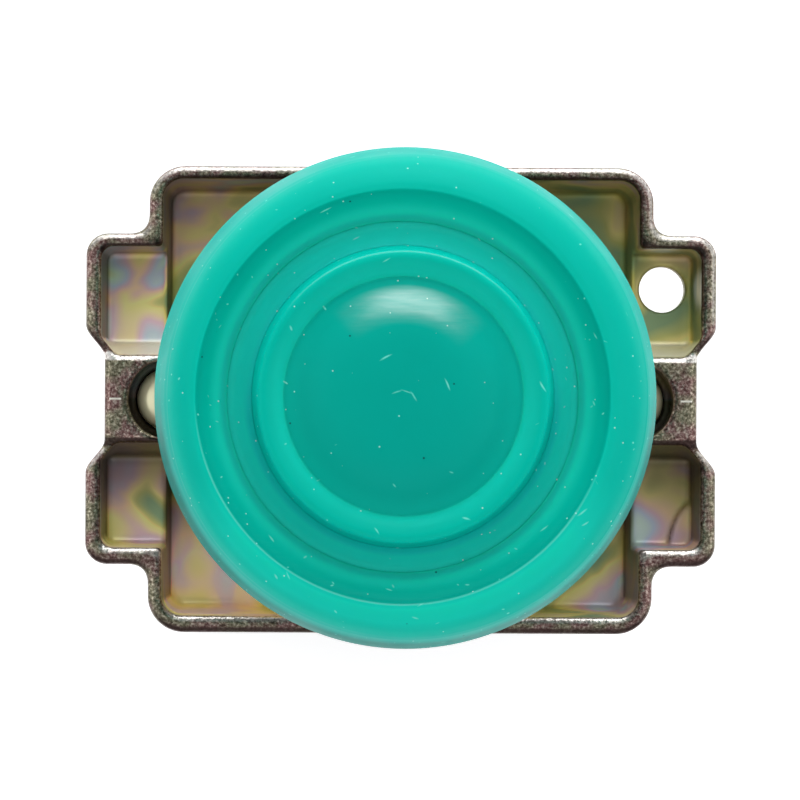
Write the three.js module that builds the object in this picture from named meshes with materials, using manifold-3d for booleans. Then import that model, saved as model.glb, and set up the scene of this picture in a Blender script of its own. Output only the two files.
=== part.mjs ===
// A booted industrial push button for a 22 mm panel hole, with its fixing collar and one
// normally open contact block.
// Millimetres. +Z points out of the panel towards the operator, and +X runs along the collar's
// long side. The origin is the centre of the panel hole, in the plane of the panel's front face.

import * as THREE from "three";
import { mergeVertices } from "three/addons/utils/BufferGeometryUtils.js";
import Module from "manifold-3d";

const wasm = await Module();
wasm.setup();

// ---- driving dimensions ----

const STROKE = 4; // full travel of the button
const CLAMP_TRAVEL = 5.6; // reach of the clamp screws, for panels 1 to 6 thick
const FIT = 0.05; // gap left where two pieces are pressed or screwed together
const RUN = 0.2; // gap left where one piece slides in another
const FINE = 32; // sides of a large round piece
const COARSE = 20; // sides of a screw or a small round piece

const neck = { radius: 11, bore: 9.4, end: -10.7 };
const web = { top: -6.8, bottom: -8.8 };
const flange = { radius: 13, back: 1 + FIT, front: 2.2 };
const lug = { radius: 12.3, top: -9, bottom: -10.6, halfAngle: 10 };
const gasket = { inner: 11.15, outer: 14.15, height: 1 };
const bezelWall = { inner: 11.75, outer: 14 };
const stem = { radius: 4.2, head: 4.9, spigot: 2.4, end: -11.5 };
stem.step = web.top + STROKE + 0.2; // lands on the web and stops the button
const cap = { radius: 9, back: 5.2 };

const collar = { front: -6.5, back: -15.5, wall: 1 };
const tray = { halfX: 16, halfY: 14.8, floor: -13.2 };
const ear = { halfX: 20, halfY: 10.5, floor: -10.7 };
const waist = { halfX: 18.8, halfY: 2.9 };
const boss = { radius: 14.2, front: -7 };
const land = { inner: 11.4, outer: 19.05, topHalfY: 2.73, footHalfY: 4 };
const clampScrewX = 14.8;
const spareHole = { x: 16.95, y: 7.27, radius: 1.5, recess: 2.3, depth: 3.5 };

const block = { halfX: 14.9, front: -15.8, back: -43.5, outerY: -14.5, innerY: -0.8, shoulderY: -2.9 };
const wing = { outer: 19.4, back: -19.4, outerY: -9.9 };
const blockAxisY = -7.3; // the contact mechanism's middle plane
const blockScrew = { x: 17.2, y: -6.4, radius: 1.2, headTop: wing.back - FIT, tip: -12 };
const chamber = { halfX: 8.6, innerY: -2.2, front: -17.6, back: -41.9 };
const cover = { halfX: 9.3, front: -16.9, back: -42.6, depth: 1.3 };
const terminal = { x: 12.3, y: -10.4, inner: 9.8, ceiling: -31.2, travel: 4.2 };
const strip = { front: -31.3, thickness: 1 };
const washer = { half: 2.3, front: strip.front - strip.thickness - terminal.travel - 0.3, thickness: 0.8 };
const plunger = { halfX: 2.4, halfY: 2.7, top: -10.85, bottom: -31 };
const bridge = { halfX: 7.2, halfY: 1.4, top: -27, thickness: 0.9, overtravel: 4.5 };
const tip = { x: 5.8, radius: 1.2, height: 0.6 };

// ---- shapes ----

// A closed mesh as a solid for cutting and joining.
function toSolid(geometry) {
  const bare = geometry.clone();
  bare.deleteAttribute("normal");
  bare.deleteAttribute("uv");
  const merged = mergeVertices(bare, 1e-4);
  return new wasm.Manifold(
    new wasm.Mesh({
      numProp: 3,
      vertProperties: merged.attributes.position.array,
      triVerts: new Uint32Array(merged.index.array),
    }),
  );
}

function toGeometry(solid) {
  const mesh = solid.getMesh();
  return new THREE.BufferGeometry()
    .setAttribute("position", new THREE.BufferAttribute(mesh.vertProperties, 3))
    .setIndex(new THREE.BufferAttribute(mesh.triVerts, 1));
}

// A profile of [radius, z] points turned about Z. It starts and ends on the axis, or closes on itself.
function turned(profile, sides) {
  const points = profile.map(([r, z]) => new THREE.Vector2(r, z));
  if (profile[0][0] > 0) points.push(points[0].clone());
  return new THREE.LatheGeometry(points, sides).rotateX(Math.PI / 2);
}

function turnedSolid(profile, sides) {
  return toSolid(turned(profile, sides));
}

// A flat shape in X and Y, raised from z = bottom to z = top.
function raised(shape, bottom, top, curveSegments = 4) {
  return new THREE.ExtrudeGeometry(shape, {
    depth: top - bottom,
    bevelEnabled: false,
    curveSegments,
  }).translate(0, 0, bottom);
}

function boxSolid([x0, x1], [y0, y1], [z0, z1]) {
  const box = new THREE.BoxGeometry(x1 - x0, y1 - y0, z1 - z0);
  return toSolid(box.translate((x0 + x1) / 2, (y0 + y1) / 2, (z0 + z1) / 2));
}

function rod(radius, x, y, bottom, top, sides = COARSE) {
  const cylinder = new THREE.CylinderGeometry(radius, radius, top - bottom, sides).rotateX(Math.PI / 2);
  return toSolid(cylinder.translate(x, y, (bottom + top) / 2));
}

// A sector of a ring about Z, between two angles in degrees.
function ringSector(inner, outer, fromAngle, toAngle, bottom, top) {
  const from = THREE.MathUtils.degToRad(fromAngle);
  const to = THREE.MathUtils.degToRad(toAngle);
  const shape = new THREE.Shape();
  shape.absarc(0, 0, outer, from, to, false);
  shape.absarc(0, 0, inner, to, from, true);
  return toSolid(raised(shape, bottom, top, 6));
}

// A polygon whose corners [x, y, radius] are rounded off.
function roundedShape(corners) {
  const shape = new THREE.Shape();
  corners.forEach(([x, y, radius], i) => {
    const corner = new THREE.Vector2(x, y);
    const before = corners.at(i - 1);
    const after = corners[(i + 1) % corners.length];
    const toBefore = new THREE.Vector2(before[0] - x, before[1] - y).setLength(radius);
    const toAfter = new THREE.Vector2(after[0] - x, after[1] - y).setLength(radius);
    const start = corner.clone().add(toBefore);
    const end = corner.clone().add(toAfter);
    if (i === 0) shape.moveTo(start.x, start.y);
    else shape.lineTo(start.x, start.y);
    shape.quadraticCurveTo(corner.x, corner.y, end.x, end.y);
  });
  return shape;
}

function rectangle([x0, x1], [y0, y1], radius) {
  return roundedShape([[x0, y0, radius], [x1, y0, radius], [x1, y1, radius], [x0, y1, radius]]);
}

// The same corners in all four quadrants, as one loop.
function fourfold(quadrant) {
  const back = [...quadrant].reverse();
  return [
    ...quadrant,
    ...back.map(([x, y, r]) => [-x, y, r]),
    ...quadrant.map(([x, y, r]) => [-x, -y, r]),
    ...back.map(([x, y, r]) => [x, -y, r]),
  ];
}

class Helix extends THREE.Curve {
  constructor(radius, bottom, top, turns) {
    super();
    Object.assign(this, { radius, bottom, top, turns });
  }
  getPoint(t, target = new THREE.Vector3()) {
    const angle = t * this.turns * 2 * Math.PI;
    const z = this.bottom + t * (this.top - this.bottom);
    return target.set(this.radius * Math.cos(angle), this.radius * Math.sin(angle), z);
  }
}

// A coil spring between two flat seats, standing on (x, y).
function coil({ radius, wire, bottom, top, turns, x = 0, y = 0 }) {
  const section = new THREE.Shape().absarc(0, 0, wire, 0, 2 * Math.PI);
  const path = new Helix(radius, bottom + wire, top - wire, turns);
  const geometry = new THREE.ExtrudeGeometry(section, {
    steps: turns * 10,
    curveSegments: 3,
    extrudePath: path,
    bevelEnabled: false,
  });
  return geometry.translate(x, y, 0);
}

// A screw along Z with its slotted head at the back and its tip at the front.
function slottedScrew({ x, y, radius, tipZ, headTop, headRadius, headHeight, tipHeight }) {
  const back = headTop - headHeight;
  const edge = 0.3;
  const body = turnedSolid(
    [
      [0, back],
      [headRadius - edge, back],
      [headRadius, back + edge],
      [headRadius, headTop],
      [radius, headTop],
      [radius, tipZ - tipHeight],
      [0.8 * radius, tipZ - 0.35 * tipHeight],
      [0, tipZ],
    ],
    COARSE,
  );
  const slotHalf = 0.16 * headRadius;
  const slotX = [-headRadius - 1, headRadius + 1];
  const slot = boxSolid(slotX, [-slotHalf, slotHalf], [back - 1, back + 0.45 * headHeight]);
  return toGeometry(body.subtract(slot)).translate(x, y, 0);
}

// ---- materials ----

const steel = new THREE.MeshStandardMaterial({ color: 0xb8b8b4, roughness: 0.35, metalness: 1 });
const chrome = new THREE.MeshStandardMaterial({ color: 0xd4d4d4, roughness: 0.15, metalness: 1 });
const yellowZinc = new THREE.MeshStandardMaterial({ color: 0x9c8a5a, roughness: 0.35, metalness: 1 });
const brass = new THREE.MeshStandardMaterial({ color: 0xc8a048, roughness: 0.3, metalness: 1 });
const silver = new THREE.MeshStandardMaterial({ color: 0xdcdcd8, roughness: 0.2, metalness: 1 });
const silicone = new THREE.MeshStandardMaterial({ color: 0x14b8a4, roughness: 0.45, metalness: 0 });
const nitrile = new THREE.MeshStandardMaterial({ color: 0x1a1a1a, roughness: 0.8, metalness: 0 });
const greenPlastic = new THREE.MeshStandardMaterial({ color: 0x1f8a4c, roughness: 0.4, metalness: 0 });
const nylon = new THREE.MeshStandardMaterial({ color: 0xe6e2d4, roughness: 0.5, metalness: 0 });
const blackPlastic = new THREE.MeshStandardMaterial({ color: 0x26282a, roughness: 0.5, metalness: 0 });

// ---- head: the part in front of the panel, and the neck through it ----

// Die-cast body: a flange in front of the panel, a neck through the hole, a guide web for the
// stem, a key for the panel's notch and two bayonet lugs for the collar.
function headBody() {
  const body = turnedSolid(
    [
      [stem.radius + RUN, web.bottom],
      [neck.bore, web.bottom],
      [neck.bore, neck.end],
      [neck.radius, neck.end],
      [neck.radius, flange.back],
      [flange.radius, flange.back],
      [flange.radius, flange.front],
      [neck.bore, flange.front],
      [neck.bore, web.top],
      [stem.radius + RUN, web.top],
    ],
    FINE,
  );
  const lugs = [90, 270].map((angle) => {
    const [from, to] = [angle - lug.halfAngle, angle + lug.halfAngle];
    return ringSector(neck.radius - 0.5, lug.radius, from, to, lug.bottom, lug.top);
  });
  const key = boxSolid([-1.3, 1.3], [neck.radius - 0.5, neck.radius + 1], [-5, -0.1]);
  return toGeometry(lugs.reduce((whole, piece) => whole.add(piece), body).add(key));
}

// Plated ring pressed over the flange. The boot is stretched over it and grips its groove.
function bezelRing() {
  const { inner, outer } = bezelWall;
  const seat = flange.front + FIT;
  return turned(
    [
      [flange.radius + FIT, flange.back],
      [outer, flange.back],
      [outer, 3],
      [outer - 0.4, 3.2],
      [outer - 0.4, 3.9],
      [outer, 4.1],
      [outer, 6.5],
      [outer - 0.4, 7.4],
      [outer - 0.9, 7.8],
      [inner + 0.9, 7.8],
      [inner + 0.3, 7.2],
      [inner, 6.6],
      [inner, seat],
      [flange.radius + FIT, seat],
    ],
    FINE,
  );
}

// The boot's outer part, which stays still: the skirt over the bezel, the rim and the cupped
// slope inside it.
function bootSkirt() {
  return turned(
    [
      [10.5, 7.5],
      [11.8, 7.5],
      [12.6, 7.95],
      [13.2, 7.95],
      [13.75, 7.5],
      [14.1, 6.6],
      [14.1, 4.05],
      [13.7, 3.85],
      [13.7, 3.25],
      [14.1, 3.05],
      [14.1, 1.4],
      [15.25, 1.4],
      [15.25, 3.2],
      [15, 5],
      [14.5, 7.1],
      [13.8, 8.4],
      [13.1, 9.05],
      [12.3, 9.2],
      [11.8, 8.75],
      [11.2, 8.35],
      [10.5, 8.1],
    ],
    FINE,
  );
}

// The boot's middle, which moves with the button: the finger dome, the cupped ring round it,
// and the bellows wall down to the thin web.
function bootDome() {
  return turned(
    [
      [0, 10.6],
      [4.4, 10.3],
      [5.4, 9.8],
      [6.2, 9.15],
      [6.85, 8.85],
      [7.35, 9.4],
      [7.8, 9.75],
      [8.05, 9.6],
      [8.2, 8.2],
      [8.5, 7.5],
      [10.2, 7.5],
      [10.2, 8.1],
      [9.4, 8.1],
      [9.1, 8.3],
      [8.85, 8.9],
      [8.62, 10.3],
      [8.45, 10.65],
      [7.8, 10.6],
      [7.25, 10.25],
      [6.8, 9.75],
      [6.3, 10.2],
      [5.6, 10.7],
      [4.8, 11.1],
      [3, 11.42],
      [0, 11.5],
    ],
    FINE,
  );
}

function panelGasket() {
  const { inner, outer, height } = gasket;
  return turned([[inner, 0], [outer, 0], [outer, height], [inner, height]], FINE);
}

// Moulded cap under the boot, with a socket for the stem and a flange for the return spring.
function pushCap() {
  return turned(
    [
      [0, 7.9],
      [3.05, 7.9],
      [3.05, cap.back],
      [cap.radius, cap.back],
      [cap.radius, 6.3],
      [8.2, 6.35],
      [7.95, 7],
      [7.75, 9.6],
      [7.35, 9.25],
      [6.85, 8.7],
      [6.15, 9],
      [5.3, 9.65],
      [4.3, 10.2],
      [0, 10.5],
    ],
    FINE,
  );
}

function pushStem() {
  const neckFront = -10.55;
  const neckBack = -11.1;
  return turned(
    [
      [0, stem.end],
      [stem.spigot, stem.end],
      [stem.spigot, neckBack],
      [stem.spigot - 0.5, neckBack],
      [stem.spigot - 0.5, neckFront],
      [stem.spigot, neckFront],
      [stem.spigot, -8.95],
      [stem.radius, -8.95],
      [stem.radius, stem.step],
      [stem.head, stem.step],
      [stem.head, cap.back - FIT],
      [2.95, cap.back - FIT],
      [2.95, 7.6],
      [0, 7.6],
    ],
    COARSE,
  );
}

// Wide disc on the stem's back end. It stops the button on the web and pushes the contact
// blocks, which sit off the axis.
function actuatorDisc() {
  const bore = stem.spigot + FIT;
  return turned([[bore, -10.5], [9.1, -10.5], [9.1, -9], [bore, -9]], FINE);
}

function retainingClip() {
  const clip = turnedSolid([[1.95, -11.05], [3.9, -11.05], [3.9, -10.6], [1.95, -10.6]], COARSE);
  return toGeometry(clip.subtract(boxSolid([-1.5, 1.5], [0, 5], [-12, -10])));
}

// ---- collar: the bracket behind the panel ----

// Die-cast tray with a raised rim, four ears, two screw lands and a round boss. The boss is
// bored for the neck and has pockets that its lugs turn into.
function mountingBracket() {
  const depth = [collar.back, collar.front];
  const outline = roundedShape(
    fourfold([
      [waist.halfX, waist.halfY, 0.5],
      [ear.halfX, waist.halfY + 1.5, 0.9],
      [ear.halfX, ear.halfY, 1.3],
      [tray.halfX, ear.halfY, 1.2],
      [tray.halfX, tray.halfY, 2],
    ]),
  );
  const trayX = tray.halfX - collar.wall;
  const trayY = tray.halfY - collar.wall;
  const well = rectangle([-trayX, trayX], [-trayY, trayY], 1.3);
  let body = toSolid(raised(outline, ...depth));
  body = body.subtract(toSolid(raised(well, tray.floor, collar.front + 1)));

  const earX = ear.halfX - collar.wall;
  const earY = ear.halfY - collar.wall;
  for (const sideX of [-1, 1]) {
    const xs = [trayX - 1, earX].map((x) => x * sideX).sort((a, b) => a - b);
    const pocket = rectangle(xs, [-earY, earY], 0.6);
    body = body.subtract(toSolid(raised(pocket, ear.floor, collar.front + 1)));
  }
  body = body.add(rod(boss.radius, 0, 0, tray.floor - 1, boss.front, FINE));
  for (const sideX of [-1, 1]) body = body.add(screwLand(sideX));
  body = body.add(cornerPad());
  body = body.intersect(toSolid(raised(outline, ...depth)));

  body = body.subtract(rod(neck.radius + 0.25, 0, 0, collar.back - 1, collar.front + 1, FINE));
  for (const start of [90, 270]) body = body.subtract(bayonetPocket(start));
  for (const sideX of [-1, 1]) {
    body = body.subtract(rod(2.1, sideX * clampScrewX, 0, collar.back - 1, collar.front + 1));
    body = body.subtract(rod(2.5, sideX * clampScrewX, 0, collar.front - 2, collar.front + 1));
  }
  const { x, y, radius, recess } = spareHole;
  body = body.subtract(rod(radius, x, y, collar.back - 1, collar.front));
  body = body.subtract(rod(recess, x, y, collar.back - 1, collar.back + spareHole.depth));
  body = body.subtract(rod(blockScrew.radius + 0.1, blockScrew.x, blockScrew.y, collar.back - 1, -11.6));
  return toGeometry(body.subtract(pegSolid(RUN, collar.back - 1)));
}

// The raised land that carries a clamp screw, with sloping flanks.
function screwLand(sideX) {
  const { topHalfY: top, footHalfY: foot } = land;
  const section = new THREE.Shape([
    new THREE.Vector2(-foot, tray.floor),
    new THREE.Vector2(foot, tray.floor),
    new THREE.Vector2(top, collar.front),
    new THREE.Vector2(-top, collar.front),
  ]);
  const prism = new THREE.ExtrudeGeometry(section, { depth: land.outer - land.inner, bevelEnabled: false })
    .rotateX(Math.PI / 2)
    .rotateZ(Math.PI / 2);
  return toSolid(prism.translate(sideX > 0 ? land.inner : -land.outer, 0, 0));
}

// A low pad with a curved edge in the corner of one ear, over the blind hole of the block's screw.
function cornerPad() {
  const x = ear.halfX - collar.wall + 0.1;
  const y = -(ear.halfY - collar.wall + 0.1);
  const shape = new THREE.Shape();
  shape.moveTo(x, y);
  shape.absellipse(x, y, 1.7, 3.1, Math.PI / 2, Math.PI, false, 0);
  return toSolid(raised(shape, ear.floor - 0.5, ear.floor + 0.25, 8));
}

// A lug goes in at 36 degrees from its locked angle and turns back under the boss's lip.
function bayonetPocket(lockedAngle) {
  const clear = lug.halfAngle + 2;
  const turn = 36;
  const radius = lug.radius + 0.3;
  const inner = neck.radius - 0.5;
  const entry = lockedAngle + turn;
  const bottom = collar.back - 1;
  const track = ringSector(inner, radius, lockedAngle - clear, entry + clear, bottom, lug.top + RUN);
  return track.add(ringSector(inner, radius, entry - clear, entry + clear, bottom, collar.front + 1));
}

// Peg on the contact block that hooks into the bracket's ear. Grown by a gap it cuts the socket.
function pegSolid(gap, bottom) {
  return boxSolid([-18.2 - gap, -15.6 + gap], [-9.2 - gap, -5.2 + gap], [bottom, collar.back + 2 + gap]);
}

function clampScrew(sideX) {
  return slottedScrew({
    x: sideX * clampScrewX,
    y: 0,
    radius: 1.98,
    tipZ: -6.9,
    headTop: collar.back - CLAMP_TRAVEL - 0.4,
    headRadius: 2.4,
    headHeight: 2.4,
    tipHeight: 1.3,
  });
}

// ---- contact block ----

// Moulded case, open at the side for the mechanism and at both ends for the wires. Two wings
// carry it under the bracket: one is screwed on, and the other has the peg.
function blockHousing() {
  const { halfX, front, back, outerY, innerY, shoulderY } = block;
  const middle = terminal.inner + 2;
  let body = boxSolid([-halfX, halfX], [outerY, shoulderY], [back, front]);
  body = body.add(boxSolid([-middle, middle], [outerY, innerY], [back, front]));
  body = body.add(boxSolid([-wing.outer, wing.outer], [wing.outerY, shoulderY], [wing.back, front]));

  const mechanismZ = [chamber.back, chamber.front];
  body = body.subtract(boxSolid([-chamber.halfX, chamber.halfX], [outerY - 1, chamber.innerY], mechanismZ));
  const rebate = cover.halfX + FIT;
  const rebateZ = [cover.back - FIT, cover.front + FIT];
  body = body.subtract(boxSolid([-rebate, rebate], [outerY - 1, outerY + cover.depth + FIT], rebateZ));

  for (const sideX of [-1, 1]) {
    const bay = [terminal.inner, halfX + 1].map((x) => x * sideX).sort((a, b) => a - b);
    const slot = [chamber.halfX - 1, terminal.inner + 1].map((x) => x * sideX).sort((a, b) => a - b);
    const slotZ = [strip.front - strip.thickness - 0.1, strip.front + 0.1];
    body = body.subtract(boxSolid(bay, [-13.4, -7.4], [back - 1, terminal.ceiling]));
    body = body.subtract(boxSolid(slot, [-13, -7.8], slotZ));
    body = body.subtract(rod(1.9, sideX * terminal.x, terminal.y, terminal.ceiling - 1, -22.9));
  }
  body = body.subtract(rod(blockScrew.radius + 0.15, blockScrew.x, blockScrew.y, wing.back - 1, front + 1));
  const guide = 0.15;
  const plungerX = plunger.halfX + guide;
  const plungerY = [blockAxisY - plunger.halfY - guide, blockAxisY + plunger.halfY + guide];
  body = body.subtract(boxSolid([-plungerX, plungerX], plungerY, [chamber.front - 1, front + 1]));
  return toGeometry(body.add(pegSolid(0, front - 1)));
}

function blockCover() {
  const { halfX, front, back, depth } = cover;
  const plate = boxSolid([-halfX, halfX], [block.outerY, block.outerY + depth], [back, front]);
  const grip = boxSolid([-3, 3], [block.outerY - 1, block.outerY + 0.5], [-30, -28.6]);
  return toGeometry(plate.subtract(grip));
}

// Push rod with a stop shoulder, a window for the contact bridge and a stub for its spring.
function contactPlunger() {
  const { halfX, halfY, top, bottom } = plunger;
  const ys = [blockAxisY - halfY, blockAxisY + halfY];
  const shoulder = boxSolid([-halfX - 1, halfX + 1], ys, [chamber.front - 1.5, chamber.front - RUN]);
  const windowY = bridge.halfY + RUN;
  const window = boxSolid(
    [-halfX - 1, halfX + 1],
    [blockAxisY - windowY, blockAxisY + windowY],
    [bridge.top - bridge.thickness - 0.1, bridge.top + bridge.overtravel],
  );
  const column = boxSolid([-halfX, halfX], ys, [bottom, top]).subtract(window);
  return toGeometry(column.add(shoulder).add(rod(1.2, 0, blockAxisY, bottom - 2.5, bottom + 0.5, 12)));
}

function contactBridge() {
  const { halfX, halfY, top, thickness } = bridge;
  const shape = rectangle([-halfX, halfX], [blockAxisY - halfY, blockAxisY + halfY], 0.6);
  return raised(shape, top - thickness, top);
}

function contactTip(sideX, top) {
  return new THREE.CylinderGeometry(tip.radius, tip.radius, tip.height, 16)
    .rotateX(Math.PI / 2)
    .translate(sideX * tip.x, blockAxisY, top - tip.height / 2);
}

// Stamped strip from the fixed contact out to the terminal, with the screw's hole in it.
function fixedContact(sideX) {
  const plan = [
    [4.3, -5.6],
    [4.3, -10.4],
    [6.6, -12.8],
    [14.6, -12.8],
    [14.6, -8],
    [7.6, -8],
    [7.6, -5.6],
  ];
  const shape = new THREE.Shape(plan.map(([x, y]) => new THREE.Vector2(sideX * x, y)));
  const hole = new THREE.Path().absarc(sideX * terminal.x, terminal.y, 1.85, 0, 2 * Math.PI);
  shape.holes.push(hole);
  return raised(shape, strip.front - strip.thickness, strip.front, 5);
}

function terminalScrew(sideX) {
  return slottedScrew({
    x: sideX * terminal.x,
    y: terminal.y,
    radius: 1.6,
    tipZ: -27.4,
    headTop: washer.front - washer.thickness - FIT,
    headRadius: 2.3,
    headHeight: 2,
    tipHeight: 0.6,
  });
}

function terminalWasher(sideX) {
  const centreX = sideX * terminal.x;
  const { half, front, thickness } = washer;
  const shape = rectangle([centreX - half, centreX + half], [terminal.y - 2.6, terminal.y + 2.6], 0.5);
  shape.holes.push(new THREE.Path().absarc(centreX, terminal.y, 1.85, 0, 2 * Math.PI));
  return raised(shape, front - thickness, front, 5);
}

function blockFixingScrew() {
  return slottedScrew({
    x: blockScrew.x,
    y: blockScrew.y,
    radius: blockScrew.radius,
    tipZ: blockScrew.tip,
    headTop: blockScrew.headTop,
    headRadius: 1.9,
    headHeight: 1.8,
    tipHeight: 0.6,
  });
}

// ---- assembly ----

const button = new THREE.Group();

function place(name, geometry, material) {
  const mesh = new THREE.Mesh(geometry, material);
  mesh.name = name;
  button.add(mesh);
}

place("head_body", headBody(), chrome);
place("bezel_ring", bezelRing(), chrome);
place("boot_skirt", bootSkirt(), silicone);
place("boot_dome", bootDome(), silicone);
place("panel_gasket", panelGasket(), nitrile);
place("push_cap", pushCap(), greenPlastic);
place("push_stem", pushStem(), nylon);
place("actuator_disc", actuatorDisc(), nylon);
place("retaining_clip", retainingClip(), steel);
const returnSpring = { radius: 5.7, wire: 0.45, bottom: web.top + FIT, top: cap.back - FIT, turns: 6 };
place("return_spring", coil(returnSpring), steel);

place("mounting_bracket", mountingBracket(), yellowZinc);
place("clamp_screw_left", clampScrew(-1), yellowZinc);
place("clamp_screw_right", clampScrew(1), yellowZinc);

place("block_housing", blockHousing(), blackPlastic);
place("block_cover", blockCover(), blackPlastic);
place("block_screw", blockFixingScrew(), steel);
place("contact_plunger", contactPlunger(), greenPlastic);
place("contact_bridge", contactBridge(), brass);
const plungerSpring = { radius: 2, wire: 0.25, bottom: chamber.back + FIT, turns: 5 };
plungerSpring.top = plunger.bottom - FIT;
place("plunger_spring", coil({ ...plungerSpring, y: blockAxisY }), steel);
const bridgeSpring = { radius: 1.1, wire: 0.2, bottom: bridge.top + FIT, turns: 4 };
bridgeSpring.top = bridge.top + bridge.overtravel - FIT;
place("bridge_spring", coil({ ...bridgeSpring, y: blockAxisY }), steel);

for (const [side, sideX] of [["left", -1], ["right", 1]]) {
  place(`bridge_tip_${side}`, contactTip(sideX, bridge.top - bridge.thickness), silver);
  place(`fixed_tip_${side}`, contactTip(sideX, strip.front + tip.height), silver);
  place(`fixed_contact_${side}`, fixedContact(sideX), brass);
  place(`terminal_screw_${side}`, terminalScrew(sideX), steel);
  place(`terminal_washer_${side}`, terminalWasher(sideX), steel);
}

export default button;
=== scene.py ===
import math

import bmesh
import bpy
import numpy as np
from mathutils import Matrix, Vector


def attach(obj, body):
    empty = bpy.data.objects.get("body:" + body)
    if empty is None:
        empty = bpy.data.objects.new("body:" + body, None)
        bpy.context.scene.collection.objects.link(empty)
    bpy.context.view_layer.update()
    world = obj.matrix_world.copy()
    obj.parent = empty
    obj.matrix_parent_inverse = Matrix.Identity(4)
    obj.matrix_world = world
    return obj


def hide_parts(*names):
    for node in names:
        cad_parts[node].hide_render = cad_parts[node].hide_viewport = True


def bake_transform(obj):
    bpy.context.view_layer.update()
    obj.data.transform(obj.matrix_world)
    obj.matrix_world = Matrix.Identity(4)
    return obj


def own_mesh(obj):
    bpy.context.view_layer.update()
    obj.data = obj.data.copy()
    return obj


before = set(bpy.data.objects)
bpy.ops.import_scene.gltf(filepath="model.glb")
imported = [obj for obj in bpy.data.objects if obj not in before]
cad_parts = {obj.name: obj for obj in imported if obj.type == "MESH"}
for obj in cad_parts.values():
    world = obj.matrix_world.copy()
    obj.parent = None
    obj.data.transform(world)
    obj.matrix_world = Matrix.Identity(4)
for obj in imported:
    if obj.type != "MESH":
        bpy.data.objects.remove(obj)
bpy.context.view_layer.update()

# ---- Head body ----
# The zinc body of the head: a flange in front of the panel, a neck through the hole and two
# bayonet lugs behind it. It is die-cast, turned on the neck and plated bright.

MM = 0.001
TAU = 2 * math.pi


def srgb(red, green, blue, alpha=1.0):
    """An everyday 0-255 colour as the linear colour a shader takes."""
    def linear(c):
        c /= 255
        return c / 12.92 if c <= 0.04045 else ((c + 0.055) / 1.055) ** 2.4
    return (linear(red), linear(green), linear(blue), alpha)


def rounded(corners, steps=4):
    """A section's [r, z, radius] corners with each one turned into a small arc."""
    points = []
    count = len(corners)
    for i, corner in enumerate(corners):
        here = np.array(corner[:2], float)
        radius = corner[2] if len(corner) > 2 else 0.0
        if radius == 0:
            points.append(tuple(here))
            continue
        before = np.array(corners[i - 1][:2], float) - here
        after = np.array(corners[(i + 1) % count][:2], float) - here
        before /= np.linalg.norm(before)
        after /= np.linalg.norm(after)
        start, end = here + before * radius, here + after * radius
        for step in range(steps + 1):
            t = step / steps
            points.append(tuple((1 - t) ** 2 * start + 2 * t * (1 - t) * here + t * t * end))
    return points


def placed(name, data):
    """Puts a mesh, lamp or camera in the scene."""
    thing = bpy.data.objects.new(name, data)
    bpy.context.scene.collection.objects.link(thing)
    return thing


def new_piece(name, vertices, faces, finish, smooth=True):
    """A mesh in millimetres becomes a piece in metres."""
    mesh = bpy.data.meshes.new(name)
    mesh.from_pydata([tuple(c * MM for c in v) for v in vertices], [], faces)
    mesh.materials.append(finish)
    mesh.polygons.foreach_set("use_smooth", [smooth] * len(mesh.polygons))
    mesh.update()
    return placed(name, mesh)


def face_outwards(piece):
    shape = bmesh.new()
    shape.from_mesh(piece.data)
    bmesh.ops.remove_doubles(shape, verts=shape.verts, dist=1e-7)
    bmesh.ops.recalc_face_normals(shape, faces=shape.faces)
    shape.to_mesh(piece.data)
    shape.free()


def turned(name, section, finish, sides=128, axis=(0.0, 0.0)):
    """A lathe-turned piece. The section runs from the axis to the axis, or closes on itself."""
    on_axis = section[0][0] == 0
    ring = section[1:-1] if on_axis else section
    vertices = []
    for r, z in ring:
        for k in range(sides):
            a = TAU * k / sides
            vertices.append((axis[0] + r * math.cos(a), axis[1] + r * math.sin(a), z))
    faces = []
    rows = len(ring)
    for i in range(rows - 1 if on_axis else rows):
        j = (i + 1) % rows
        for k in range(sides):
            n = (k + 1) % sides
            faces.append((i * sides + k, i * sides + n, j * sides + n, j * sides + k))
    if on_axis:
        for row, (_, z) in ((0, section[0]), (rows - 1, section[-1])):
            pole = len(vertices)
            vertices.append((axis[0], axis[1], z))
            for k in range(sides):
                faces.append((pole, row * sides + k, row * sides + (k + 1) % sides))
    piece = new_piece(name, vertices, faces, finish)
    face_outwards(piece)
    return piece


def shade(piece, degrees=35):
    """Smooth shading that keeps the edges sharper than this angle."""
    bpy.context.view_layer.objects.active = piece
    piece.data.set_sharp_from_angle(angle=math.radians(degrees))
    return piece


def add(tree, kind, inputs=None, **settings):
    """A shader node with its settings and its inputs, which are values or other sockets."""
    node = tree.nodes.new(kind)
    for key, value in settings.items():
        setattr(node, key, value)
    for key, value in (inputs or {}).items():
        if isinstance(value, bpy.types.NodeSocket):
            tree.links.new(value, node.inputs[key])
        else:
            node.inputs[key].default_value = value
    return node


def maths(tree, kind, *values):
    """One step of arithmetic on values or sockets."""
    return add(tree, "ShaderNodeMath", dict(enumerate(values)), operation=kind).outputs[0]


def ranged(tree, value, low=0.0, high=1.0, to_low=0.0, to_high=1.0):
    """A value moved from one range to another, and held inside it."""
    return add(tree, "ShaderNodeMapRange", {
        "Value": value, "From Min": low, "From Max": high,
        "To Min": to_low, "To Max": to_high}).outputs[0]


def mixed(tree, factor, under, over):
    """One colour laid over another."""
    return add(tree, "ShaderNodeMix", {0: factor, 6: under, 7: over}, data_type="RGBA").outputs[2]


def noise(tree, place, scale, detail, **more):
    """Soft random patches, with any other inputs by name."""
    return add(tree, "ShaderNodeTexNoise", {"Vector": place, "Scale": scale, "Detail": detail, **more})


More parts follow.
